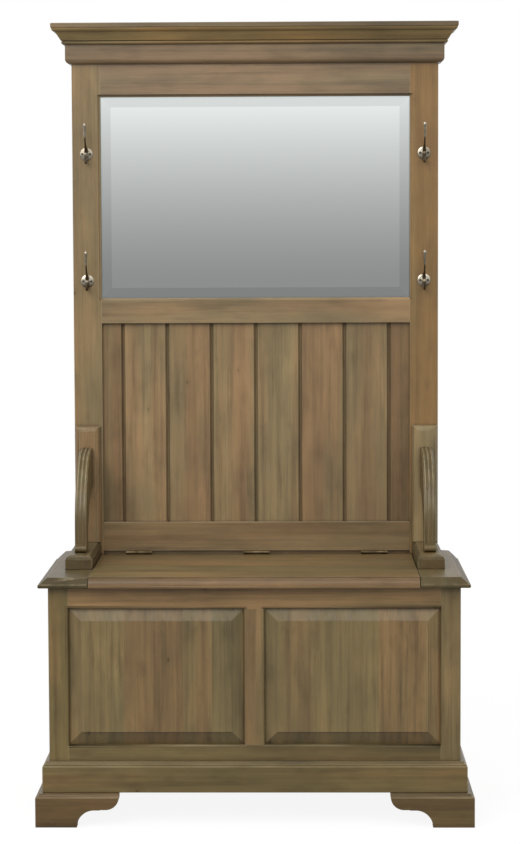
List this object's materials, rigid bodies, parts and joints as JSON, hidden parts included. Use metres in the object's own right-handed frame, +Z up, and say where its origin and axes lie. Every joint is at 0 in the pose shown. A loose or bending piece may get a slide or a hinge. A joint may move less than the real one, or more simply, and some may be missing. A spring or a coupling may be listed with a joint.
{
  "type": "hall tree bench",
  "caption": "Hall tree bench: panelled storage chest with a lift-up seat, curved arms and a tall back with mirror, boards, coat hooks and cornice.",
  "frame": {"origin": "on the floor, in the middle of the box round the whole object", "axes": "+Z up, -Y towards the sitter's side (the front), +Y towards the wall, +X to the right seen from the front"},
  "size_m": [1.016, 0.463, 1.88],
  "materials": {
    "chest_wood": "grey-brown glazed satin lacquer, olive cast",
    "seat_wood": "grey-brown glazed satin lacquer",
    "back_wood": "lighter grey-brown glazed satin lacquer",
    "board_wood": "grey-brown glazed satin lacquer, each board its own tint",
    "inner_wood": "plain wood, thin stain",
    "mirror": "silvered, bevelled edge",
    "hook_metal": "aged pewter",
    "hinge_metal": "dull nickel",
    "screw_metal": "dull zinc"
  },
  "bodies": {
    "body": {"front_stile_left": "chest_wood", "front_stile_right": "chest_wood", "front_mullion": "chest_wood", "front_top_rail": "chest_wood", "front_bottom_rail": "chest_wood", "front_panel_left": "chest_wood", "front_panel_right": "chest_wood", "side_stiles_left": "chest_wood", "side_stiles_right": "chest_wood", "side_rails_left": "chest_wood", "side_rails_right": "chest_wood", "side_panel_left": "chest_wood", "side_panel_right": "chest_wood", "rear_rails": "inner_wood", "back_panel": "inner_wood", "box_floor": "inner_wood", "floor_cleats": "inner_wood", "plinth_front": "chest_wood", "plinth_left": "chest_wood", "plinth_right": "chest_wood", "foot_front_left": "chest_wood", "foot_front_right": "chest_wood", "foot_rear_left": "chest_wood", "foot_rear_right": "chest_wood", "foot_blocks": "inner_wood", "seat_end_left": "seat_wood", "seat_end_right": "seat_wood", "seat_back_strip": "seat_wood", "hinge_fixed_leaves": "hinge_metal", "hinge_pins": "hinge_metal", "hinge_fixed_screws": "screw_metal", "post_left": "back_wood", "post_right": "back_wood", "post_bolts": "screw_metal", "hutch_top_rail": "back_wood", "hutch_mid_rail": "back_wood", "hutch_bottom_rail": "back_wood", "mirror_glass": "mirror", "mirror_backing": "inner_wood", "mirror_beads": "inner_wood", "back_boards": "board_wood", "frieze_boards": "back_wood", "cornice_mouldings": "back_wood", "top_board": "back_wood", "arm_plate_left": "back_wood", "arm_plate_right": "back_wood", "arm_left": "back_wood", "arm_right": "back_wood", "arm_base_left": "back_wood", "arm_base_right": "back_wood", "hook_upper_left": "hook_metal", "hook_upper_right": "hook_metal", "hook_lower_left": "hook_metal", "hook_lower_right": "hook_metal", "hook_screws": "hook_metal"},
    "lid": {"seat_lid": "seat_wood", "lid_battens": "inner_wood", "hinge_lid_leaves": "hinge_metal", "hinge_lid_screws": "screw_metal"}
  },
  "joints": [
    {"name": "lid_hinge", "type": "hinge", "parent": "body", "child": "lid", "pos_m": [0, 0.1495, 0.586], "axis": [-1, 0, 0], "range_deg": [0, 92]}
  ]
}
